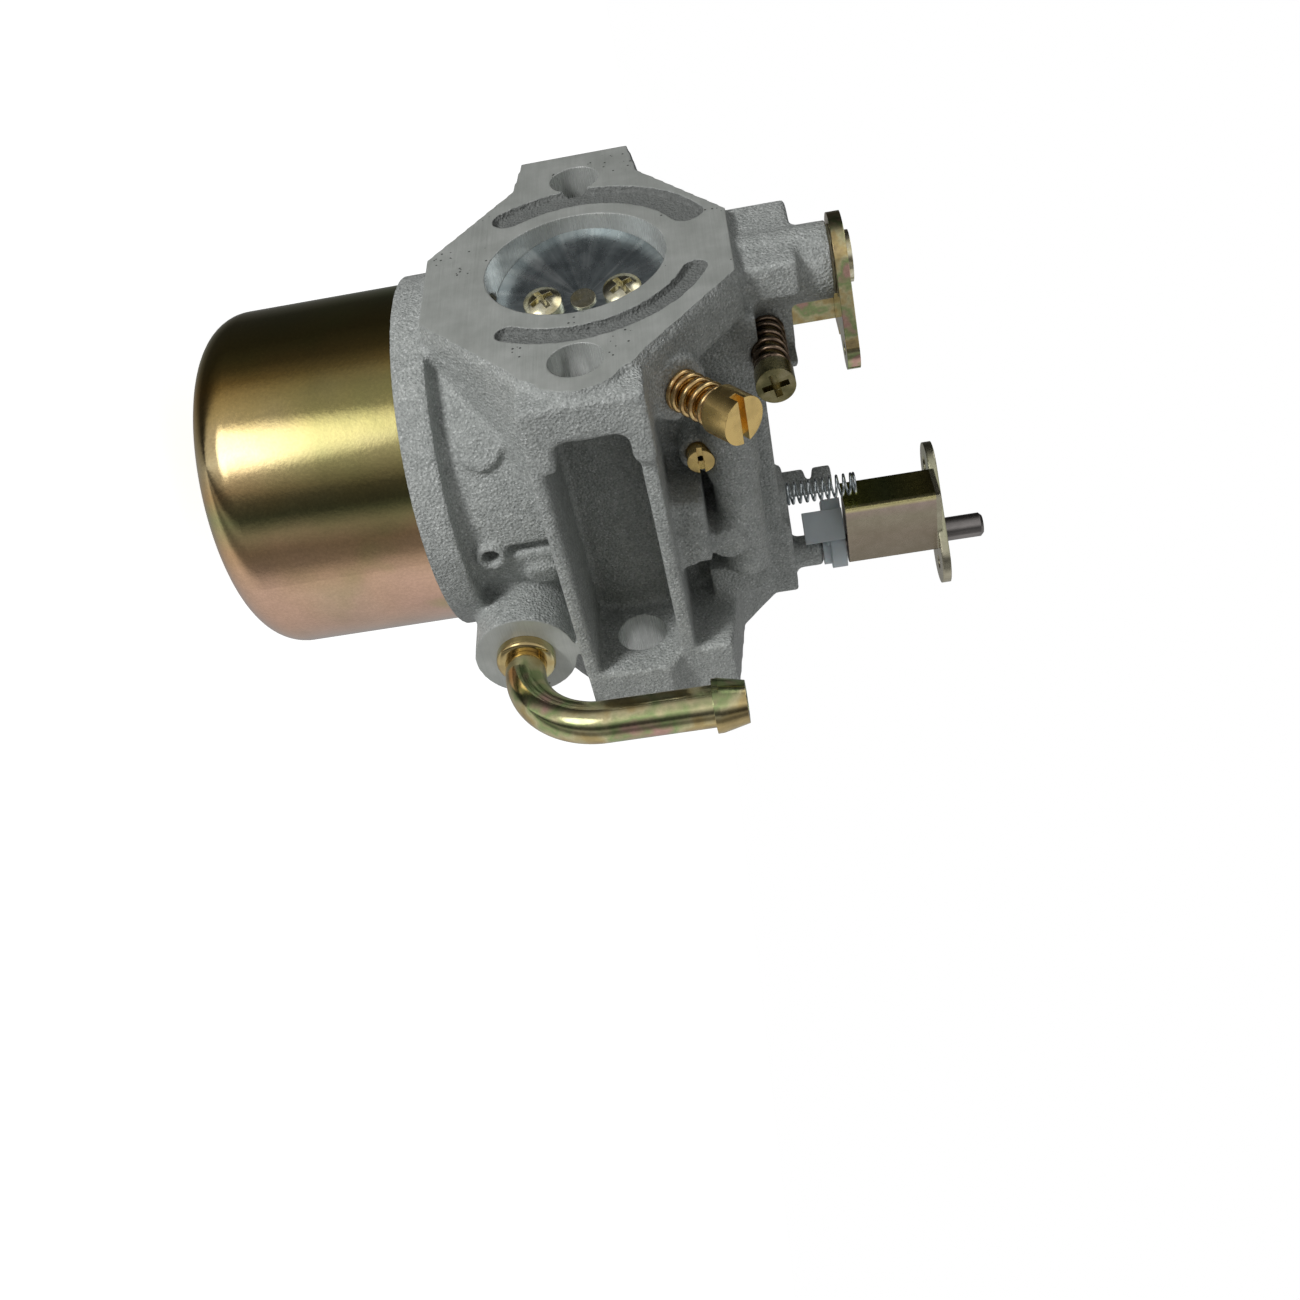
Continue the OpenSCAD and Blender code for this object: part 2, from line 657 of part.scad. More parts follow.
module float() color("#1f1f21") difference() {
    union() {
        rod_z([0, bowl_y, float_top - float_h], float_r, float_h);
        block([-4, needle_y - 3, tab_z - tab_t], [4, pin_y, tab_z]);
        block([-4, needle_y - 1.5, float_top - 1], [4, needle_y + 2, tab_z - tab_t + lap]);
        rod_x([-ear_in + 0.3, pin_y, pin_z], hub_r, 2 * ear_in - 0.6);
    }
    rod_z([0, bowl_y, float_top - float_h - 1], float_hole_r, float_h + 2);
    rod_x([-12, pin_y, pin_z], float_pin_r + run_gap, 24);
}

module float_pin() color(steel_col)
    rod_x([-ear_in - ear_t - 0.4, pin_y, pin_z], float_pin_r, 2 * (ear_in + ear_t + 0.4));

// ---------- small fixed pieces ----------

module pilot_jet() color(brass_col) difference() {
    rod_x([16.6, pilot_y, pilot_z], 2, 5.2);
    rod_x([10, pilot_y, pilot_z], 0.5, 20);
    block([21, pilot_y - 3, pilot_z - 0.4], [23, pilot_y + 3, pilot_z + 0.4]);
}

module air_jets() color(brass_col) for (s = [-1, 1]) translate([-5, body_len, s * (air_r + 3.4)])
    difference() {
        rod_y([0, -4.9, 0], 1.8, 4.6);
        rod_y([0, -6, 0], 0.5, 8);
        block([-3, -1.1, -0.35], [3, 0, 0.35]);
    }

module welch_plug() color(steel_col) translate([-4, bowl_y, chest_z - 1]) rotate_extrude()
    polygon([[0, 0], [4.5, 0], [4.5, 0.5], [4.3, 0.5], for (k = [1 : 4]) [4.3 - 1.075 * k,
        0.95 - dome_ball(4.3, 0.45) + sqrt(pow(dome_ball(4.3, 0.45), 2) - pow(4.3 - 1.075 * k, 2))]]);

module throttle_seal() color("#d8d4c4") difference() {
    rod_z([0, throttle_y, throttle_boss_z], boss_r - 0.6, seal_t);
    rod_z([0, throttle_y, throttle_boss_z - 1], throttle_shaft_r + run_gap, 3);
}

// ---------- throttle ----------

module throttle_shaft() color(zinc_col) difference() {
    union() {
        rod_z([0, throttle_y, -throttle_foot], throttle_shaft_r, throttle_foot + lever_z);
        rod_z([0, throttle_y, lever_z - lap], stub_r, lever_t + 2 * lap);
        rod_z([0, throttle_y, lever_z + lever_t], rivet_r, 0.9);
    }
    // flat that carries the plate, and the screws' holes
    difference() {
        throttle_frame() block([-5, -6, -bore_r - 0.2], [5, throttle_plate_t / 2, bore_r + 0.2]);
        throttle_frame() rod_y([0, -throttle_plate_t / 2 - 0.3, 0], 1.9, 2);
    }
    throttle_frame() for (z = [-screw_z, screw_z]) rod_y([0, -6, z], screw_r + seat_gap, 12);
}

module throttle_plate() color("#c9cdd0") difference() {
    intersection() {
        rod_y([0, -20, 0], bore_r - plate_gap, 60);
        throttle_frame() block([-20, -throttle_plate_t / 2, -20], [20, throttle_plate_t / 2, 20]);
    }
    throttle_frame() rod_y([0, -3, 0], 1.9 + seat_gap, 6);
    throttle_frame() for (z = [-screw_z, screw_z]) rod_y([0, -3, z], screw_r + seat_gap, 6);
}

module throttle_plate_screws() color(zinc_col) throttle_frame() for (z = [-screw_z, screw_z])
    translate([0, -throttle_plate_t / 2, z]) rotate([90, 0, 0]) rotate([0, 0, 30])
        pan_screw(screw_head_r, screw_head_t, screw_r, throttle_shaft_r - 0.2);

module throttle_lever() color(zinc_col) {
    tip = throttle_y + lever_arm * sin(lever_angle);
    lean = asin((lever_r - lever_end_r) / lever_arm);
    translate([0, 0, lever_z]) linear_extrude(lever_t) difference() {
        union() {
            translate([0, throttle_y]) circle(r = lever_r);
            translate([lever_arm * cos(lever_angle), tip]) circle(r = lever_end_r);
            translate([0, throttle_y]) rotate(lever_angle)
                polygon([for (s = [-1, 1]) lever_r * [sin(lean), s * cos(lean)],
                    for (s = [1, -1]) [lever_arm, 0] + lever_end_r * [sin(lean), s * cos(lean)]]);
            translate([stop_tip_x - stop_tab_t - 0.05, throttle_y])
                square([6, stop_y + stop_tab_end - throttle_y]);
        }
        translate([0, throttle_y]) circle(r = stub_r + seat_gap);
        translate([lever_arm * cos(lever_angle), tip]) circle(r = 1.1);
    }
    // tab that comes to rest on the stop screw
    block([stop_tip_x - stop_tab_t - 0.05, throttle_y + boss_r + 0.1, chest_z + 0.5],
        [stop_tip_x - 0.05, stop_y + stop_tab_end, lever_z + lever_t / 2]);
}

// ---------- adjusting screws ----------

module stop_screw() color("#9a8a52") difference() {
    union() {
        rod_x([stop_tip_x, stop_y, stop_z], stop_r, stop_face_x + stop_spring_len - stop_tip_x + lap);
        rod_x([stop_face_x + stop_spring_len, stop_y, stop_z], stop_head_r, stop_head_len);
    }
    translate([stop_face_x + stop_spring_len + stop_head_len, stop_y, stop_z]) rotate([0, 90, 0])
        rotate([0, 0, 12]) cross_cut(stop_head_r * 0.68, 1, 1.8);
}

module stop_screw_spring() color("#8a7450") translate([stop_face_x, stop_y, stop_z]) rotate([0, 90, 0])
    coil(stop_r + 0.62, 0.45, stop_spring_len, 6.5);

module mixture_screw() color(brass_col) mix_frame() difference() {
    union() {
        translate([0, 0, -mix_hole_len + 2])
            cylinder(r = mix_r, h = mix_hole_len - 2 + mix_spring_len + lap);
        translate([0, 0, -mix_hole_len + 0.2]) cylinder(r1 = 0.5, r2 = 1.4, h = 1.9);
        translate([0, 0, mix_spring_len]) cylinder(r = mix_head_r, h = mix_head_len);
    }
    translate([-0.55, -5, mix_spring_len + mix_head_len - 1.6]) cube([1.1, 10, 3]);
}

module mixture_screw_spring() color(brass_col) mix_frame()
    coil(mix_r + 0.62, 0.45, mix_spring_len, 5.5);

// ---------- choke ----------

module choke_shaft() color(steel_col) difference() {
    union() {
        rod_z([choke_x, choke_y, -choke_foot], choke_shaft_r,
            choke_foot + end_plate_z + end_plate_t + lap);
        rod_z([choke_x, choke_y, end_plate_z + end_plate_t], choke_stub_r, choke_stub - stub_chamfer);
        translate([choke_x, choke_y, end_plate_z + end_plate_t + choke_stub - stub_chamfer])
            cylinder(r1 = choke_stub_r, r2 = choke_stub_r - stub_chamfer, h = stub_chamfer);
    }
    choke_frame(choke_open) {
        block([-5, -choke_plate_t / 2, -air_r - 0.1], [5, 6, air_r + 0.1]);
        for (z = [-screw_z, screw_z]) rod_y([0, -6, z], choke_screw_r + seat_gap, 12);
    }
}

module choke_plate() color("#c9cdd0")
    translate([choke_x, choke_y, 0]) rotate([0, 0, choke_open]) translate([-choke_x, -choke_y, 0])
        difference() {
            intersection() {
                rod_y([0, choke_y - 30, 0], air_r - plate_gap, 60);
                choke_frame(0)
                    block([-30, -choke_plate_t / 2, -choke_side], [30, choke_plate_t / 2, choke_side]);
            }
            choke_frame(0) for (z = [-screw_z, screw_z]) rod_y([0, -6, z], choke_screw_r + seat_gap, 12);
            // relief hole in the long half
            choke_frame(0) rod_y([-10, -6, 0], 2.5, 12);
        }

module choke_plate_screws() color(zinc_col) choke_frame(choke_open) for (z = [-screw_z, screw_z])
    translate([0, choke_plate_t / 2, z]) rotate([-90, 0, 0])
        pan_screw(2, 1.3, choke_screw_r, choke_shaft_r - 0.1);

module choke_lever() color(zinc_col) {
    right = choke_x + bracket_half;
    // base sheet across the shaft
    difference() {
        union() {
            rod_z([choke_x, choke_y, bracket_z], choke_shaft_r + 1.2, sheet_t);
            block([bracket_x, bracket_y, bracket_z], [right, choke_y, bracket_z + sheet_t]);
        }
        rod_z([choke_x, choke_y, bracket_z - 1], choke_shaft_r + seat_gap, 3);
    }
    // two sides of the bracket
    block([bracket_x, bracket_y, bracket_z], [right, bracket_y + sheet_t, end_plate_z + end_plate_t / 2]);
    block([right - sheet_t, bracket_y, bracket_z],
        [right, choke_y + 0.6, end_plate_z + end_plate_t / 2]);
    // end plate with the link holes
    lug_frame() translate([0, 0, end_plate_z]) linear_extrude(end_plate_t) difference() {
        union() {
            translate([-5, -10.1]) square([10, 13.9]);
            translate([0, -10.1]) circle(r = 5);
            translate([0, 3.8]) circle(r = 5);
        }
        circle(r = choke_shaft_r + seat_gap);
        translate([0, -11.2]) circle(r = 1.6);
        translate([0, 5.2]) circle(r = 1.2);
    }
}

module choke_clip() color("#eef0f2") difference() {
    union() {
        rod_z([choke_x, choke_y, clip_low], 3.6, clip_t);
        lug_frame() block([-3.2, -7.9, clip_low - 0.6], [3.2, 0, clip_low + clip_t]);
        lug_frame() block([neck_r + 0.2, -6, neck_z - 2.8], [neck_r + 2.6, -0.8, clip_low + clip_t]);
        lug_frame() block([0, -6, clip_low - 0.6], [neck_r + 2.6, -0.8, clip_low + clip_t]);
        rod_z([choke_x, choke_y, neck_z], choke_shaft_r + 1, clip_low - neck_z + lap);
    }
    rod_z([choke_x, choke_y, neck_z - 1], choke_shaft_r + run_gap, 8);
}

module choke_spring() color("#c4cacc")
    translate([spring_x, spring_y, lug_z]) coil(coil_small, wire_small, spring_len, 10.5);

// ---------- fuel inlet ----------

module tube_line(r) {
    rise = inlet_z + bend_r;
    foot_x = inlet_face_x - tube_in + 0.2;
    rod_x([foot_x, inlet_y, inlet_z], r, tube_x - bend_r - foot_x);
    translate([tube_x - bend_r, inlet_y, rise]) rotate([90, 0, 0]) rotate([0, 0, -90])
        rotate_extrude(angle = 90) translate([bend_r, 0]) circle(r = r);
    rod_z([tube_x, inlet_y, rise], r, tube_top - rise);
}

module fuel_elbow() color(zinc_col) difference() {
    union() {
        tube_line(tube_r);
        rod_z([tube_x, inlet_y, tube_top - 4.8], barb_r, 0.9);
        translate([tube_x, inlet_y, tube_top - 3.9]) cylinder(r1 = barb_r, r2 = tube_r, h = 3.9);
    }
    tube_line(tube_r - tube_wall);
    rod_z([tube_x, inlet_y, tube_top - 2], tube_r - tube_wall, 4);
    rod_x([inlet_face_x - tube_in - 1, inlet_y, inlet_z], tube_r - tube_wall, 4);
}

module elbow_collar() color(zinc_col) translate([inlet_face_x, inlet_y, inlet_z]) rotate([0, 90, 0])
    difference() {
        union() {
            cylinder(r = collar_r, h = 1);
            translate([0, 0, 1]) rotate_extrude() translate([collar_r - 0.8, 0]) circle(r = 0.8);
            cylinder(r = collar_r - 0.8, h = 1.8);
        }
        translate([0, 0, -1]) cylinder(r = tube_r + seat_gap, h = 4);
    }

body();
float_bowl();
bowl_gasket();
bowl_washer();
bowl_bolt();
main_jet();
emulsion_tube();
needle_seat();
float_needle();
float();
float_pin();
pilot_jet();
air_jets();
welch_plug();
throttle_shaft();
throttle_plate();
throttle_plate_screws();
throttle_lever();
throttle_seal();
stop_screw();
stop_screw_spring();
mixture_screw();
mixture_screw_spring();
choke_shaft();
choke_plate();
choke_plate_screws();
choke_lever();
choke_clip();
choke_spring();
fuel_elbow();
elbow_collar();
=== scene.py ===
import json
import math

import bmesh
import bpy
import numpy as np
from mathutils import Matrix, Vector


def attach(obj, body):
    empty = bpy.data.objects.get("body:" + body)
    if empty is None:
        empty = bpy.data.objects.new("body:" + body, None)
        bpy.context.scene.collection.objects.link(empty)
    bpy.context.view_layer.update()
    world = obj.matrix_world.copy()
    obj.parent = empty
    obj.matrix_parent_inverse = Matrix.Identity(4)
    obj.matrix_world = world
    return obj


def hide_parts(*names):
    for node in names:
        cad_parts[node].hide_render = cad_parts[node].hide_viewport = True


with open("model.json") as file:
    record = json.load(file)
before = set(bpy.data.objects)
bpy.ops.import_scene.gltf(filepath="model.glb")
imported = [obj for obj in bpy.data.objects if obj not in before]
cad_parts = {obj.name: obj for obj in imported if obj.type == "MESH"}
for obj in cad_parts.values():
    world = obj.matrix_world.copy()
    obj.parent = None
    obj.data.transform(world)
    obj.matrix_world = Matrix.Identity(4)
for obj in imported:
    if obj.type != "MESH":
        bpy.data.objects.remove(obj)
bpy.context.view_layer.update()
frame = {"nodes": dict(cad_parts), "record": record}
parts = frame["nodes"]
print("frame loaded with", len(parts), "pieces")


# rays of the shader that rounds edges, and degrees in a radian
edgeSamples = 6
perRadian = 57.29578


class Wire:
    # one output socket, so that sums of textures read as sums
    def __init__(self, tree, socket):
        self.tree = tree
        self.socket = socket

    def of(self, name):
        return Wire(self.tree, self.socket.node.outputs[name])

    def math(self, operation, a, b=None):
        node = self.tree.nodes.new("ShaderNodeMath")
        node.operation = operation
        for slot, value in zip(node.inputs, (a, b)):
            if isinstance(value, Wire):
                self.tree.links.new(value.socket, slot)
            elif value is not None:
                slot.default_value = value
        return Wire(self.tree, node.outputs[0])

    def __add__(self, other):
        return self.math("ADD", self, other)

    def __radd__(self, other):
        return self.math("ADD", other, self)

    def __sub__(self, other):
        return self.math("SUBTRACT", self, other)

    def __rsub__(self, other):
        return self.math("SUBTRACT", other, self)

    def __mul__(self, other):
        return self.math("MULTIPLY", self, other)

    def __rmul__(self, other):
        return self.math("MULTIPLY", other, self)

    def __truediv__(self, other):
        return self.math("DIVIDE", self, other)

    def __pow__(self, other):
        return self.math("POWER", self, other)

    def __abs__(self):
        return self.math("ABSOLUTE", self)

    def below(self, limit):
        return self.math("LESS_THAN", self, limit)

    def above(self, limit):
        return self.math("GREATER_THAN", self, limit)

    def least(self, other):
        return self.math("MINIMUM", self, other)

    def most(self, other):
        return self.math("MAXIMUM", self, other)

    def sine(self):
        return self.math("SINE", self)

    def angle(self, other):
        return self.math("ARCTAN2", self, other)


class Board:
    # a node tree that is filled node by node
    def __init__(self, tree):
        self.tree = tree
        tree.nodes.clear()

    def node(self, kind, settings=None, inputs=None, out=0):
        made = self.tree.nodes.new(kind)
        for name, value in (settings or {}).items():
            if name == "stops":
                ramp = made.color_ramp
                while len(ramp.elements) < len(value):
                    ramp.elements.new(0.5)
                for element, (place, colour) in zip(ramp.elements, value):
                    element.position = place
                    element.color = (*colour, 1)
            else:
                setattr(made, name, value)
        for name, value in (inputs or {}).items():
            if isinstance(value, Wire):
                self.tree.links.new(value.socket, made.inputs[name])
            else:
                made.inputs[name].default_value = value
        return Wire(self.tree, made.outputs[out]) if made.outputs else None

    def place(self):
        # the piece's own coordinates, in metres
        return self.node("ShaderNodeTexCoord").of("Object")

    def axes(self, vector):
        split = self.node("ShaderNodeSeparateXYZ", inputs={"Vector": vector})
        return split.of("X"), split.of("Y"), split.of("Z")

    def moved(self, vector, turn=(0, 0, 0), scale=(1, 1, 1)):
        return self.node("ShaderNodeMapping", inputs={"Vector": vector, "Rotation": turn, "Scale": scale})

    def noise(self, vector, scale, detail=2.0, rough=0.5):
        return self.node("ShaderNodeTexNoise", inputs={
            "Vector": vector, "Scale": scale, "Detail": detail, "Roughness": rough})

    def cells(self, vector, scale):
        return self.node("ShaderNodeTexVoronoi", inputs={"Vector": vector, "Scale": scale})

    def spread(self, value, low, high, to=(0.0, 1.0)):
        # value between low and high comes out between the two ends of to
        return self.node("ShaderNodeMapRange", {"clamp": True}, {
            "Value": value, "From Min": low, "From Max": high, "To Min": to[0], "To Max": to[1]})

    def ramp(self, value, stops):
        return self.node("ShaderNodeValToRGB", {"stops": stops}, {"Fac": value})

    def blend(self, factor, first, second, way="MIX"):
        return self.node("ShaderNodeMix", {"data_type": "RGBA", "blend_type": way}, {
            0: factor, 6: wide(first), 7: wide(second)}, out=2)

    def bump(self, height, depth, strength=1.0, under=None):
        links = {"Height": height, "Distance": depth, "Strength": strength}
        if under is not None:
            links["Normal"] = under
        return self.node("ShaderNodeBump", inputs=links)

    def softEdge(self, radius):
        return self.node("ShaderNodeBevel", {"samples": edgeSamples}, {"Radius": radius})


def wide(colour):
    # a plain colour gets its alpha, a wire stays as it is
    return colour if isinstance(colour, Wire) else (*colour, 1.0)


def finish(name, paint, fixed):
    # a material: fixed values on the shader's own sockets, the rest painted
    material = bpy.data.materials.new(name)
    material.use_nodes = True
    board = Board(material.node_tree)
    shader = board.node("ShaderNodeBsdfPrincipled", inputs=fixed)
    board.node("ShaderNodeOutputMaterial", inputs={"Surface": shader})
    for socket, wire in paint(board).items():
        board.tree.links.new(wire.socket, shader.socket.node.inputs[socket])
    return material


# the casting's machined surfaces and the scales of its skin, in metres and per metre
castBody = {
    "boreRadius": 0.0135,
    "airRadius": 0.0160,
    "airStartY": 0.0226,
    "studAt": 0.0251,
    "studRadius": 0.0039,
    "airFaceY": 0.0620,
    "bossTopZ": 0.0364,
    "inletFaceX": 0.0308,
    "inletBelowZ": -0.009,
    "recessRing": (0.0160, 0.0217),
    "recessDepth": (0.00012, 0.00125),
    "hair": 0.00003,
    "grain": 2600.0,
    "coarseGrain": 620.0,
    "pitting": 2300.0,
    "glintCellScale": 4300.0,
    "drifting": 75.0,
    "staining": 160.0,
    "poreCells": 950.0,
    "poreAreas": 95.0,
    "poreSize": 0.17,
    "lay": {"turn": (0, 0.35, 0), "scale": (90, 90, 2600)},
    "crossLay": {"turn": (0, -0.9, 0), "scale": (60, 60, 3400)},
    "skinDepth": 0.00026,
    "edge": 0.00032,
}


def paintCast(board):
    d = castBody
    here = board.place()
    x, y, z = board.axes(here)
    hair = d["hair"]
    fromBore = (x * x + z * z) ** 0.5
    fromStud = ((abs(x) - d["studAt"]) * (abs(x) - d["studAt"]) + z * z) ** 0.5
    frontFace = y.below(hair)
    airFace = y.above(d["airFaceY"] - hair)
    bore = fromBore.below(d["boreRadius"] + hair) * y.below(d["airStartY"])
    horn = fromBore.below(d["airRadius"] + hair) * y.above(d["airStartY"])
    studs = fromStud.below(d["studRadius"] + hair)
    bossTop = z.above(d["bossTopZ"] - hair)
    inlet = x.above(d["inletFaceX"] - hair) * z.below(d["inletBelowZ"])
    cut = frontFace.most(airFace).most(bore).most(horn).most(studs).most(bossTop).most(inlet)

    # blasted skin, with painted glints
    fine = board.noise(here, d["grain"], 3.0, 0.7)
    coarse = board.noise(here, d["coarseGrain"], 2.0, 0.5)
    pits = board.cells(here, d["pitting"])
    # painted glints: a few random cells are turned near-white in the colour, standing in for light
    # catching the blasted facets
    glintCells = board.cells(here, d["glintCellScale"]).of("Color")
    paintedGlint = board.spread(board.axes(glintCells)[0], 0.88, 1.0)
    broad = board.noise(here, d["drifting"], 3.0, 0.6)
    castColour = board.ramp(broad * 0.5 + coarse * 0.5, [
        (0.30, (0.38, 0.398, 0.385)), (0.52, (0.48, 0.50, 0.485)), (0.72, (0.58, 0.60, 0.58))])
    shade = board.spread(fine, 0.36, 0.58, (0.5, 0.0))
    castColour = board.blend(shade, castColour, (0.10, 0.108, 0.105))
    # the painted glint colour laid over the skin
    castColour = board.blend(paintedGlint * 0.5, castColour, (0.90, 0.92, 0.91))

    # milled faces: long fine scratches, stains and a few pores
    scratch = board.noise(board.moved(here, **d["lay"]), 1.0, 4.0, 0.65)
    cross = board.noise(board.moved(here, **d["crossLay"]), 1.0, 3.0, 0.6)
    stain = board.noise(here, d["staining"], 4.0, 0.62)
    poreField = board.noise(here, d["poreAreas"], 1.0)
    pore = board.cells(here, d["poreCells"]).below(d["poreSize"]) * poreField.above(0.60)
    milled = board.ramp(stain * 0.7 + scratch * 0.3, [
        (0.30, (0.37, 0.385, 0.362)), (0.5, (0.46, 0.478, 0.452)), (0.70, (0.57, 0.585, 0.56))])
    milled = board.blend(pore, milled, (0.07, 0.075, 0.07))
    bright = board.ramp(stain, [(0.35, (0.50, 0.52, 0.50)), (0.7, (0.68, 0.70, 0.68))])
    inBore = bore.most(horn).most(studs)
    milled = board.blend(inBore, milled, bright)
    # painted shade: the recess round the bore is darkened, standing in for the shade that falls in it
    shallow, deep = d["recessDepth"]
    inner, outer = d["recessRing"]
    recessShade = y.above(shallow) * y.below(deep) * fromBore.above(inner) * fromBore.below(outer)
    castColour = board.blend(recessShade * 0.75, castColour, (0.12, 0.125, 0.12))

    colour = board.blend(cut, castColour, milled)
    rough = board.spread(fine, 0.3, 0.7, (0.40, 0.55)) * (1.0 - cut) + cut * (
        board.spread(scratch, 0.3, 0.7, (0.30, 0.46)) - inBore * 0.12)
    metal = 0.22 + cut * 0.16 + inBore * 0.16
    height = (fine * 0.7 + pits * 0.7 + coarse * 0.4) * (1.0 - cut) + cut * (
        scratch * 0.13 + cross * 0.08 - pore * 0.9)
    return {"Base Color": colour, "Roughness": rough, "Metallic": metal,
            "Normal": board.bump(height, d["skinDepth"], 1.0, board.softEdge(d["edge"]))}


# what lies over the colour of plated steel: dull stains, dark specks and a fine grain
zincStain = (0.20, 0.16, 0.07)
zincSpeck = (0.06, 0.06, 0.03)
zincGrain = 2200.0


def paintZinc(palette, scale, depth=0.000008, rough=(0.10, 0.22), edge=0.00015, tintAndReflection=None):
    # the plating's colour drifts over the piece; the tint given may lay the piece's own colours and
    # painted reflection over it
    def paint(board):
        here = board.place()
        broad = board.noise(here, scale, 3.0, 0.55)
        colour = board.ramp(board.spread(broad, 0.32, 0.68), palette)
        if tintAndReflection:
            colour = tintAndReflection(board, here, broad, colour)
        speck = board.noise(here, zincGrain, 2.0, 0.6)
        blotch = board.noise(here, scale * 5.0, 4.0, 0.6)
        colour = board.blend(board.spread(blotch, 0.4, 0.85, (0.0, 0.25)), colour, zincStain)
        colour = board.blend(board.spread(speck, 0.35, 0.75, (0.16, 0.0)), colour, zincSpeck)
        height = speck * 0.7 + board.noise(here, zincGrain * 0.35, 1.0) * 0.6
        return {"Base Color": colour,
                "Roughness": board.spread(blotch * 0.5 + speck * 0.5, 0.3, 0.7, rough),
                "Normal": board.bump(height, depth, 0.8, board.softEdge(edge))}
    return paint


# where the bands lie round the bowl's axis, in degrees from the side facing the camera, and the heights
# that patches and the painted dimming fade between
bowlBandsAndReflection = {
    "axisY": 0.0296,
    "turn": 44.4,
    "waver": 26.0,
    "greenAreas": 42.0,
    "greenFades": (-0.050, -0.034),
    "dimmingAt": 4.0,
    "dimmingHalf": (14.0, 34.0),
    "dimmingFades": (-0.057, -0.040),
}


def bowlTintAndReflection(board, here, broad, colour):
    # bands of gold, green and rose round the bowl, wavering a little, set by angle from the side facing
    # the camera: partly the plating's colours, partly painted reflection of the room's bright and dark
    # bands
    d = bowlBandsAndReflection
    x, y, z = board.axes(here)
    turn = (d["axisY"] - y).angle(x) * perRadian - d["turn"] + (broad - 0.5) * d["waver"]
    bandsAndReflection = board.ramp(board.spread(turn, -90.0, 90.0), [
        (0.00, (0.70, 0.50, 0.40)), (0.14, (0.80, 0.50, 0.40)), (0.24, (0.86, 0.55, 0.42)),
        (0.33, (0.80, 0.50, 0.28)), (0.395, (0.50, 0.52, 0.24)), (0.44, (0.80, 0.52, 0.24)),
        (0.50, (0.88, 0.72, 0.42)), (0.58, (0.84, 0.60, 0.24)), (0.64, (0.80, 0.46, 0.10)),
        (0.70, (0.55, 0.42, 0.12)), (0.80, (0.40, 0.36, 0.14)), (1.00, (0.42, 0.40, 0.24))])
    green = board.spread(board.noise(here, d["greenAreas"], 3.0, 0.6), 0.52, 0.66, (0.0, 0.55))
    bandsAndReflection = board.blend(green * board.spread(z, *d["greenFades"]), bandsAndReflection, (0.42, 0.55, 0.14))
    # painted shade: the bright band facing the camera is darkened towards the body end, standing in for
    # the reflection falling off there
    paintedDimming = board.spread(abs(turn - d["dimmingAt"]), *d["dimmingHalf"], (1.0, 0.0))
    paintedDimming = paintedDimming * board.spread(z, *d["dimmingFades"], (0.0, 0.8))
    bandsAndReflection = board.blend(paintedDimming, bandsAndReflection, (0.20, 0.22, 0.08))
    return board.blend(0.15, bandsAndReflection, colour)


# the choke bracket's faces and its fold, for its painted reflection and the painted highlight on the fold
bracketFaces = {
    "frontY": 0.0483,
    "foldAt": (0.0083, 0.0480),
    "foldHighlightWidth": (0.0004, 0.0010),
    "oliveZ": (0.0350, 0.0500),
    "beigeY": (0.048, 0.060),
    "waver": 0.004,
    "endPlateZ": 0.0495,
}


def bracketTintAndReflection(board, here, broad, colour):
    # each face of the folded sheet gets its own colour by which way it faces, a painted reflection of
    # what that face mirrors
    d = bracketFaces
    x, y, z = board.axes(here)
    upper = y.below(d["frontY"])
    olive = board.ramp(board.spread(z, *d["oliveZ"]), [
        (0.0, (0.30, 0.30, 0.06)), (0.45, (0.16, 0.19, 0.07)), (0.8, (0.30, 0.27, 0.08)),
        (1.0, (0.12, 0.10, 0.04))])
    beige = board.ramp(board.spread(y + (broad - 0.5) * d["waver"], *d["beigeY"]), [
        (0.0, (0.62, 0.47, 0.42)), (0.25, (0.50, 0.44, 0.33)), (0.6, (0.42, 0.35, 0.27)),
        (1.0, (0.36, 0.31, 0.24))])
    folded = board.blend(upper, beige, olive)
    # painted highlight: a bright yellow line along the fold
    foldX, foldY = d["foldAt"]
    foldHighlight = board.spread(abs(x - foldX) + abs(y - foldY), *d["foldHighlightWidth"], (1.0, 0.0))
    folded = board.blend(foldHighlight * 0.9, folded, (0.95, 0.85, 0.42))
    return board.blend(z.above(d["endPlateZ"]), folded, colour)


# colours that the plating drifts through
roseGold = [(0.0, (0.83, 0.55, 0.40)), (0.4, (0.86, 0.60, 0.30)), (0.7, (0.82, 0.62, 0.22)),
            (1.0, (0.50, 0.55, 0.22))]
greenGold = [(0.0, (0.50, 0.38, 0.20)), (0.3, (0.72, 0.56, 0.26)), (0.5, (0.80, 0.72, 0.42)),
             (0.72, (0.45, 0.56, 0.25)), (1.0, (0.74, 0.46, 0.38))]
oliveZinc = [(0.0, (0.16, 0.15, 0.07)), (0.5, (0.34, 0.30, 0.15)), (1.0, (0.52, 0.46, 0.30))]
paleZinc = [(0.0, (0.50, 0.46, 0.34)), (0.5, (0.62, 0.58, 0.44)), (1.0, (0.55, 0.55, 0.36))]
screwZinc = [(0.0, (0.76, 0.68, 0.42)), (0.5, (0.92, 0.88, 0.68)), (1.0, (0.84, 0.74, 0.42))]


turnedMetal = {"rings": 9000.0, "blotches": 420.0, "depth": 0.000006, "edge": 0.0001, "darkening": 0.45}


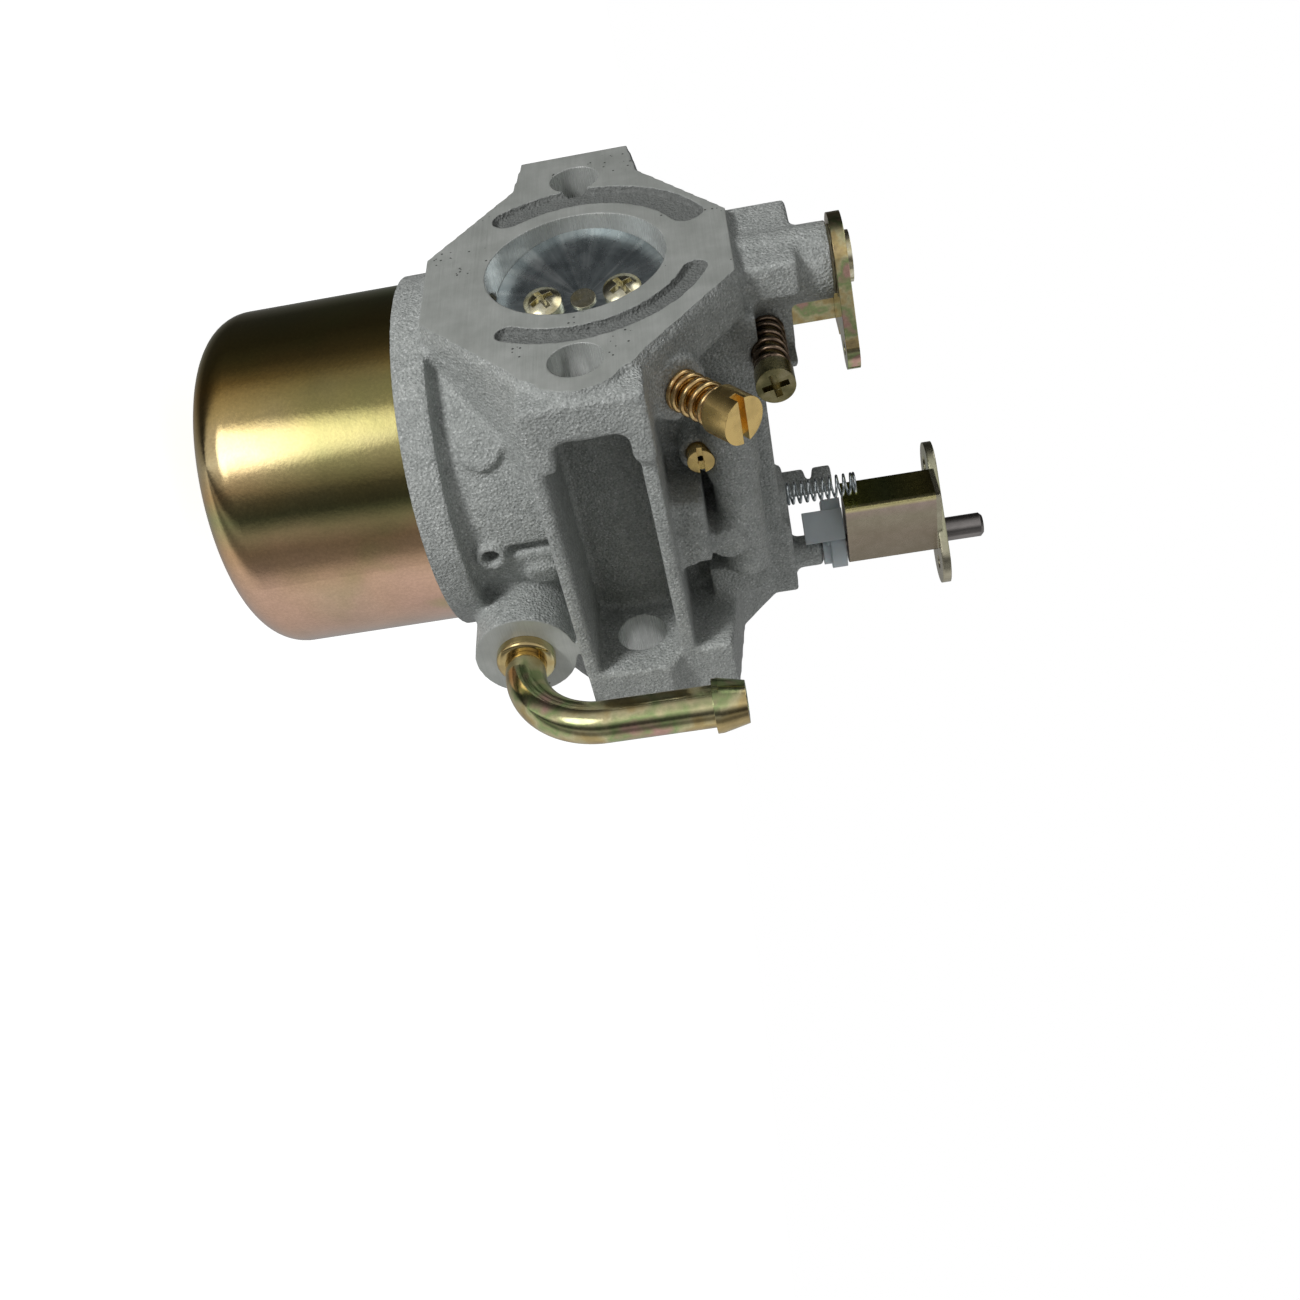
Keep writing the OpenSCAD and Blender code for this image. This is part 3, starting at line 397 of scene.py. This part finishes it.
def paintTurned(base, ringAxis, rough=(0.20, 0.34)):
    # fine tool marks that change along the axis given
    d = turnedMetal

    def paint(board):
        here = board.place()
        blotch = board.noise(here, d["blotches"], 3.0, 0.6)
        lines = board.noise(board.moved(here, scale=ringAxis), d["rings"], 2.0, 0.6)
        dark = tuple(d["darkening"] * c for c in base)
        colour = board.blend(board.spread(blotch, 0.45, 0.8, (0.0, 0.4)), base, dark)
        return {"Base Color": colour, "Roughness": board.spread(blotch, 0.3, 0.7, rough),
                "Normal": board.bump(lines, d["depth"], 0.7, board.softEdge(d["edge"]))}
    return paint


wireStreaks = 900.0


def paintWire(base, deep):
    # streaks between two colours, the darker ones rougher
    def paint(board):
        streak = board.noise(board.place(), wireStreaks, 3.0, 0.65)
        return {"Base Color": board.blend(board.spread(streak, 0.35, 0.7), deep, base),
                "Roughness": board.spread(streak, 0.3, 0.7, (0.34, 0.18))}
    return paint


spunSheet = {"rings": 5200.0, "fanSpread": 2.6, "fanScale": 1.6, "quarterTurn": 1.57, "wear": 260.0,
             "depth": 0.000010}


def paintSpun(board):
    # the throttle plate: fine rings round the bore's middle, and a painted highlight of fans of light and
    # dark round it
    d = spunSheet
    here = board.place()
    x, y, z = board.axes(here)
    out = (x * x + z * z) ** 0.5
    rings = board.noise(board.node("ShaderNodeCombineXYZ", inputs={"X": out * d["rings"]}), 1.0, 3.0, 0.6)
    spoke = z.angle(x)
    circling = board.node("ShaderNodeCombineXYZ", inputs={
        "X": spoke.sine() * d["fanSpread"], "Y": (spoke + d["quarterTurn"]).sine() * d["fanSpread"]})
    # painted highlight: light and dark fans by angle round the middle, standing in for the streaks that a
    # spun face reflects
    fanHighlight = board.noise(circling, d["fanScale"], 4.0, 0.62)
    wear = board.noise(here, d["wear"], 4.0, 0.6)
    colour = board.ramp(fanHighlight * 0.75 + wear * 0.25, [
        (0.34, (0.30, 0.35, 0.37)), (0.5, (0.46, 0.52, 0.54)), (0.66, (0.76, 0.81, 0.82))])
    return {"Base Color": colour, "Roughness": board.spread(wear, 0.3, 0.7, (0.22, 0.34)),
            "Normal": board.bump(rings, d["depth"], 0.8)}


brushedSheet = {"lay": (60, 60, 2600), "depth": 0.00001, "edge": 0.0001}


def paintSheet(board):
    # brushed across Z
    d = brushedSheet
    brushed = board.noise(board.moved(board.place(), scale=d["lay"]), 1.0, 3.0, 0.6)
    return {"Base Color": board.ramp(brushed, [(0.3, (0.42, 0.45, 0.46)), (0.7, (0.66, 0.69, 0.70))]),
            "Roughness": board.spread(brushed, 0.3, 0.7, (0.28, 0.42)),
            "Normal": board.bump(brushed, d["depth"], 0.6, board.softEdge(d["edge"]))}


mouldedSkin = {"patches": 220.0, "grain": 2400.0, "depth": 0.000012, "edge": 0.00025,
               "rough": (0.38, 0.5)}


def paintMoulded(base, dusty):
    # plastics, felt and rubber
    d = mouldedSkin

    def paint(board):
        here = board.place()
        soft = board.noise(here, d["patches"], 3.0, 0.55)
        fine = board.noise(here, d["grain"], 2.0, 0.6)
        return {"Base Color": board.blend(board.spread(soft, 0.35, 0.7), base, dusty),
                "Roughness": board.spread(fine, 0.3, 0.7, d["rough"]),
                "Normal": board.bump(fine, d["depth"], 0.7, board.softEdge(d["edge"]))}
    return paint


metal = {"Metallic": 1.0}
mixtureScrewRings = (0.766, 0.0, 0.643)
# one finish for each material slot of the pieces
finishes = {
    "cast_body": finish("blastedCasting", paintCast, {"Specular IOR Level": 0.5}),
    "zinc_bowl": finish("bowlZinc", paintZinc(
        roseGold, 34.0, depth=0.000012, rough=(0.09, 0.16), edge=0.0002, tintAndReflection=bowlTintAndReflection), metal),
    "zinc_bolt": finish("boltZinc", paintZinc(oliveZinc, 160.0, rough=(0.16, 0.28)), metal),
    "zinc_screws": finish("screwZinc", paintZinc(screwZinc, 330.0, rough=(0.12, 0.26)), metal),
    "zinc_lever": finish("leverZinc", paintZinc(greenGold, 260.0), metal),
    "zinc_bracket": finish("bracketZinc", paintZinc(
        paleZinc, 90.0, rough=(0.22, 0.36), edge=0.0005, tintAndReflection=bracketTintAndReflection), metal),
    "zinc_tube": finish("tubeZinc", paintZinc(greenGold, 110.0, rough=(0.08, 0.16)), metal),
    "stop_screw_zinc": finish("stopScrewZinc", paintZinc(oliveZinc, 300.0, rough=(0.18, 0.34)), metal),
    "stop_spring_steel": finish("bronzedWire", paintWire((0.34, 0.25, 0.18), (0.10, 0.07, 0.05)), metal),
    "screw_brass": finish("screwBrass", paintTurned(
        (0.86, 0.62, 0.24), mixtureScrewRings, rough=(0.18, 0.34)), metal),
    "spring_brass": finish("brassWire", paintWire((0.86, 0.64, 0.30), (0.50, 0.30, 0.13)), metal),
    "jet_brass": finish("jetBrass", paintTurned((0.85, 0.62, 0.26), (1.0, 0.0, 0.0)), metal),
    "shaft_steel": finish("shaftZinc", paintZinc(screwZinc, 300.0, rough=(0.18, 0.3)), metal),
    "choke_steel": finish("groundShaft", paintTurned(
        (0.30, 0.28, 0.27), (0.0, 0.0, 1.0), rough=(0.26, 0.36)), metal),
    "plate_alloy": finish("spunPlate", paintSpun, metal),
    "washer_alloy": finish("softWasher", paintSheet, metal),
    "plug_steel": finish("pressedPlug", paintSheet, metal),
    "needle_steel": finish("needleSteel", paintTurned((0.55, 0.55, 0.56), (0.0, 0.0, 1.0)), metal),
    "pin_steel": finish("pinSteel", paintTurned((0.60, 0.60, 0.60), (1.0, 0.0, 0.0)), metal),
    "spring_silver": finish("brightWire", paintWire((0.80, 0.83, 0.84), (0.30, 0.35, 0.37)), metal),
    "float_plastic": finish("floatPlastic", paintMoulded(
        (0.018, 0.018, 0.02), (0.035, 0.035, 0.036)), {}),
    "clip_nylon": finish("clipNylon", paintMoulded((0.60, 0.66, 0.69), (0.70, 0.76, 0.79)), {
        "Subsurface Weight": 0.15, "Subsurface Scale": 0.001}),
    "seal_nylon": finish("sealFelt", paintMoulded((0.50, 0.47, 0.38), (0.62, 0.60, 0.50)), {}),
    "gasket_rubber": finish("gasketRubber", paintMoulded(
        (0.02, 0.02, 0.02), (0.035, 0.034, 0.032)), {}),
}
for entry in frame["record"]["subparts"]:
    piece = parts[entry["node"]]
    piece.data.materials.clear()
    piece.data.materials.append(finishes[entry["material_slot"]])
print("finishes made:", len(finishes))


# the casting with its corners rounded and its machined surfaces left true: each hole's place
# across its axis with its radius, and the strengths of the rounding
castShape = {
    "voxel": 0.00048,
    "passes": 3,
    "stay": 0.45,
    "reach": 0.00045,
    "budget": 190000,
    "sharp": 38.0,
    "merge": 1e-6,
    "throttleAxis": (0.0, 0.0068, 0.00355),
    "chokeAxis": (0.0045, 0.059, 0.00185),
    "inletHole": (0.048, -0.0177, 0.00317),
    "inletFromX": 0.022,
    "boreToY": 0.022,
    "airFromY": 0.045,
    "recessFloorY": 0.001,
    "recessRing": (0.0158, 0.0220),
    "recessFromY": 0.0006,
    "jointZ": -0.0279,
}


def machined(points):
    # for each point: on a machined surface or not, and its place on that surface
    d, c = castShape, castBody
    place = points.copy()
    done = np.zeros(len(points), bool)

    def plane(axis, level, extra=None):
        near = (np.abs(points[:, axis] - level) < d["reach"]) & ~done
        if extra is not None:
            near &= extra
        place[near, axis] = level
        done[near] = True

    def hole(first, second, middle, radius, extra=None):
        out = points[:, [first, second]] - np.array(middle)
        far = np.linalg.norm(out, axis=1)
        near = (np.abs(far - radius) < d["reach"]) & ~done
        if extra is not None:
            near &= extra
        place[near[:, None] & np.isin(np.arange(3), [first, second])] = (
            out[near] / far[near][:, None] * radius + np.array(middle)).ravel()
        done[near] = True

    x, y, z = points.T
    hole(0, 1, d["throttleAxis"][:2], d["throttleAxis"][2])
    hole(0, 1, d["chokeAxis"][:2], d["chokeAxis"][2], z > 0)
    hole(1, 2, d["inletHole"][:2], d["inletHole"][2], x > d["inletFromX"])
    for side in (-1, 1):
        hole(0, 2, (side * c["studAt"], 0.0), c["studRadius"])
    hole(0, 2, (0.0, 0.0), c["boreRadius"], y < d["boreToY"])
    hole(0, 2, (0.0, 0.0), c["airRadius"], y > d["airFromY"])
    ring = np.hypot(x, z)
    inner, outer = d["recessRing"]
    plane(1, d["recessFloorY"], (ring > inner) & (ring < outer) & (y > d["recessFromY"]))
    plane(1, 0.0)
    plane(1, c["airFaceY"])
    plane(2, c["bossTopZ"])
    plane(0, c["inletFaceX"], z < c["inletBelowZ"])
    plane(2, d["jointZ"])
    return place, done


def settled(made):
    # the object's mesh with its modifiers applied, which are then removed
    mesh = bpy.data.meshes.new_from_object(made.evaluated_get(bpy.context.evaluated_depsgraph_get()))
    made.modifiers.clear()
    made.data = mesh
    return mesh


def softCasting():
    # a merged copy of the casting, remeshed evenly and relaxed where it is not machined
    d = castShape
    mesh = parts["body"].data.copy()
    shell = bmesh.new()
    shell.from_mesh(mesh)
    bmesh.ops.remove_doubles(shell, verts=shell.verts, dist=d["merge"])
    shell.to_mesh(mesh)
    shell.free()
    made = bpy.data.objects.new("softBody", mesh)
    bpy.context.collection.objects.link(made)
    remesh = made.modifiers.new("even", "REMESH")
    remesh.mode = "VOXEL"
    remesh.voxel_size = d["voxel"]
    even = settled(made)
    count = len(even.vertices)
    points = np.empty(count * 3)
    even.vertices.foreach_get("co", points)
    points = points.reshape(-1, 3)
    ends = np.empty(len(even.edges) * 2, int)
    even.edges.foreach_get("vertices", ends)
    ends = ends.reshape(-1, 2)
    fixed, held = machined(points)
    points[held] = fixed[held]
    links = np.bincount(ends.ravel(), minlength=count)[:, None]
    for _ in range(d["passes"]):
        total = np.empty_like(points)
        for axis in range(3):
            total[:, axis] = (np.bincount(ends[:, 0], points[ends[:, 1], axis], count)
                              + np.bincount(ends[:, 1], points[ends[:, 0], axis], count))
        moved = points * d["stay"] + total / links * (1.0 - d["stay"])
        points = np.where(held[:, None], points, moved)
    even.vertices.foreach_set("co", points.ravel())
    even.update()
    faces = sum(len(f.vertices) - 2 for f in even.polygons)
    thin = made.modifiers.new("thin", "DECIMATE")
    thin.ratio = min(1.0, d["budget"] / faces)
    light = settled(made)
    light.name = "softBody"
    light.materials.clear()
    light.materials.append(finishes["cast_body"])
    light.shade_smooth()
    light.set_sharp_from_angle(angle=math.radians(d["sharp"]))
    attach(made, "casting")
    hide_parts("body")
    print("casting softened:", faces, "faces, kept", len(light.polygons))


softCasting()


# steps in a turn and round the wire, and how many turns lie flat at each end
coilDetail = {"perTurn": 36, "roundWire": 14, "flatTurns": 0.75}


def coilTree():
    # winds one open coil up Z
    d = coilDetail
    tree = bpy.data.node_groups.new("coilWinding", "GeometryNodeTree")
    for name in ("Mean Radius", "Wire Radius", "Height", "Turns"):
        tree.interface.new_socket(name, in_out="INPUT", socket_type="NodeSocketFloat")
    tree.interface.new_socket("Finish", in_out="INPUT", socket_type="NodeSocketMaterial")
    tree.interface.new_socket("Geometry", in_out="OUTPUT", socket_type="NodeSocketGeometry")
    board = Board(tree)
    given = board.node("NodeGroupInput")
    turns = given.of("Turns")
    wire = given.of("Wire Radius")
    spiral = board.node("GeometryNodeCurveSpiral", inputs={
        "Resolution": d["perTurn"], "Rotations": turns, "Start Radius": given.of("Mean Radius"),
        "End Radius": given.of("Mean Radius"), "Height": 0.0})
    along = board.node("GeometryNodeSplineParameter").of("Factor")
    flat = d["flatTurns"]
    climb = ((along * turns - flat) / (turns - 2 * flat)).most(0.0).least(1.0)
    lift = climb * (given.of("Height") - wire * 2.0) + wire
    shift = board.node("ShaderNodeCombineXYZ", inputs={"Z": lift})
    path = board.node("GeometryNodeSetPosition", inputs={"Geometry": spiral, "Offset": shift})
    section = board.node("GeometryNodeCurvePrimitiveCircle", inputs={
        "Resolution": d["roundWire"], "Radius": wire})
    tube = board.node("GeometryNodeCurveToMesh", inputs={
        "Curve": path, "Profile Curve": section, "Fill Caps": True})
    smooth = board.node("GeometryNodeSetShadeSmooth", inputs={0: tube})
    real = board.node("GeometryNodeRealizeInstances", inputs={0: smooth})
    done = board.node("GeometryNodeSetMaterial", inputs={
        "Geometry": real, "Material": given.of("Finish")})
    board.node("NodeGroupOutput", inputs={"Geometry": done})
    return tree


def grown(name, tree, values, matrix):
    # runs a node tree on an empty mesh and keeps the result as a plain mesh at the origin
    seed = bpy.data.objects.new(name + "Seed", bpy.data.meshes.new(name + "Seed"))
    bpy.context.collection.objects.link(seed)
    modifier = seed.modifiers.new("grow", "NODES")
    modifier.node_group = tree
    for item in tree.interface.items_tree:
        if item.in_out == "INPUT" and item.name in values:
            modifier[item.identifier] = values[item.name]
    bpy.context.view_layer.update()
    mesh = bpy.data.meshes.new_from_object(seed.evaluated_get(bpy.context.evaluated_depsgraph_get()))
    bpy.data.objects.remove(seed)
    mesh.name = name
    mesh.transform(matrix)
    made = bpy.data.objects.new(name, mesh)
    bpy.context.collection.objects.link(made)
    return made


def toward(base, direction):
    # a frame at base whose Z points along direction
    return Matrix.Translation(base) @ Vector(direction).to_track_quat("Z", "Y").to_matrix().to_4x4()


# each spring: the node it stands for, its finish, its foot and direction, and its coil
springs = {
    "stopSpring": {
        "instead": "stop_screw_spring", "slot": "stop_spring_steel",
        "at": (0.003, 0.015, 0.026), "along": (1, 0, 0),
        "mean": 0.00232, "wire": 0.00045, "height": 0.0112, "turns": 6.5},
    "mixtureSpring": {
        "instead": "mixture_screw_spring", "slot": "spring_brass",
        "at": (0.0229, 0.009, 0.0129), "along": (0.766044, 0, 0.642788),
        "mean": 0.00262, "wire": 0.00045, "height": 0.0078, "turns": 5.5},
    "chokeSpring": {
        "instead": "choke_spring", "slot": "spring_silver",
        "at": (0.0053, 0.0452623, 0.0258), "along": (0, 0, 1),
        "mean": 0.0017, "wire": 0.00021, "height": 0.0113, "turns": 11.0},
}
winding = coilTree()
for name, d in springs.items():
    coil = grown(name, winding, {
        "Mean Radius": d["mean"], "Wire Radius": d["wire"], "Height": d["height"], "Turns": d["turns"],
        "Finish": finishes[d["slot"]]}, toward(d["at"], d["along"]))
    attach(coil, "casting")
    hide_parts(d["instead"])
print("springs wound:", len(springs))


# the picture's own directions, what stands round the part, and the camera
studio = {
    "floorAt": -0.0672,
    "floorSize": 3.0,
    "floorGlow": 0.9,
    "towardCamera": (0.71128, -0.69593, 0.09880),
    "towardTop": (-0.70207, -0.69654, 0.14808),
    "towardRight": (0.03424, 0.17469, 0.98403),
    "softBox": {"toward": (0.455, -0.775, -0.438), "edge": (0.955, 0.985), "glow": 2.4},
    "sideBox": {"toward": (-0.278, -0.729, 0.625), "edge": (0.94, 0.975), "glow": 1.6},
    "roomTone": (0.17, 0.173, 0.17),
    "aim": (0.0, 0.03, 0.0),
    "cameraAt": (0.18352, -0.10438, 0.02084),
    "lens": 39.128,
    "sensor": 36.0,
    "shift": (0.01268, -0.01784),
    "nearest": 0.01,
}


def addFloor():
    half = studio["floorSize"] / 2
    mesh = bpy.data.meshes.new("floor")
    corners = [(-half, -half, 0), (half, -half, 0), (half, half, 0), (-half, half, 0)]
    mesh.from_pydata(corners, [], [(0, 1, 2, 3)])
    mesh.transform(Matrix.Translation((0, 0, studio["floorAt"])))
    floor = bpy.data.objects.new("floor", mesh)
    bpy.context.collection.objects.link(floor)

    def paint(board):
        cloud = board.noise(board.place(), 3.0, 2.0)
        return {"Base Color": board.ramp(cloud, [(0.3, (0.86, 0.86, 0.86)), (0.7, (0.90, 0.90, 0.90))])}
    mesh.materials.append(finish("paleFloor", paint, {
        "Roughness": 0.9, "Emission Color": (1, 1, 1, 1), "Emission Strength": studio["floorGlow"]}))
    floor.visible_glossy = False
    floor.visible_diffuse = False
    floor.visible_shadow = False


def addWorld():
    # white to look at, and a dim room with bands of light for the metal to mirror
    world = bpy.data.worlds.new("studioRoom")
    bpy.context.scene.world = world
    world.use_nodes = True
    board = Board(world.node_tree)
    look = board.node("ShaderNodeTexCoord").of("Generated")

    def along(axis):
        dot = board.node("ShaderNodeVectorMath", {"operation": "DOT_PRODUCT"}, {0: look, 1: axis})
        return dot.of("Value")
    turned = along(studio["towardTop"]).angle(along(studio["towardCamera"])) / 360.0 * perRadian + 0.5
    # how bright the room is, by degrees from the camera over the top
    glow = [(-180, 0.30), (-150, 0.45), (-96, 0.62), (-84, 0.52), (-72, 0.2), (-60, 0.16),
            (-48, 0.3), (-36, 0.05), (-24, 0.1), (-12, 0.45), (0, 0.8), (14, 0.6), (40, 0.5),
            (52, 0.35), (62, 0.14), (74, 0.05), (95, 0.025), (130, 0.03), (150, 0.09), (180, 0.30)]
    room = board.ramp(turned, [((a + 180) / 360, (v, v, v)) for a, v in glow])
    # two soft boxes, for the highlights on small round pieces
    box = sum(board.spread(along(d["toward"]), *d["edge"], (0.0, d["glow"]))
              for d in (studio["softBox"], studio["sideBox"]))
    boxes = board.node("ShaderNodeCombineColor", inputs={0: box, 1: box, 2: box})
    room = board.blend(1.0, room, boxes, "ADD")
    rays = board.node("ShaderNodeLightPath")
    colour = board.blend(rays.of("Is Diffuse Ray"), room, studio["roomTone"])
    colour = board.blend(rays.of("Is Camera Ray"), colour, (1.0, 1.0, 1.0))
    board.node("ShaderNodeOutputWorld", inputs={
        "Surface": board.node("ShaderNodeBackground", inputs={"Color": colour, "Strength": 1.0})})


def addLight(name, side, up, out, size, watts):
    # placed by the picture's right, its top and toward the camera, and aimed at the casting
    d = studio
    where = (Vector(d["towardRight"]) * side + Vector(d["towardTop"]) * up
             + Vector(d["towardCamera"]) * out)
    data = bpy.data.lights.new(name, "AREA")
    data.shape = "RECTANGLE"
    data.size, data.size_y = size
    data.energy = watts
    lamp = bpy.data.objects.new(name, data)
    lamp.matrix_world = toward(Vector(d["aim"]) + where, where)
    bpy.context.collection.objects.link(lamp)
    lamp.visible_camera = False
    lamp.visible_glossy = False


def addCamera():
    d = studio
    data = bpy.data.cameras.new("camera")
    data.lens = d["lens"]
    data.sensor_width = d["sensor"]
    data.shift_x, data.shift_y = d["shift"]
    data.clip_start = d["nearest"]
    camera = bpy.data.objects.new("camera", data)
    turn = Matrix((d["towardRight"], d["towardTop"], d["towardCamera"])).transposed()
    camera.matrix_world = Matrix.Translation(d["cameraAt"]) @ turn.to_4x4()
    bpy.context.collection.objects.link(camera)
    bpy.context.scene.camera = camera


addFloor()
addWorld()
addLight("key", -0.30, 0.08, 0.38, (0.10, 0.10), 1.75)
addLight("fill", 0.25, -0.34, 0.10, (0.30, 0.20), 0.22)
addCamera()
bpy.context.scene.view_settings.view_transform = "Standard"
bpy.context.scene.view_settings.look = "None"
print("studio ready")
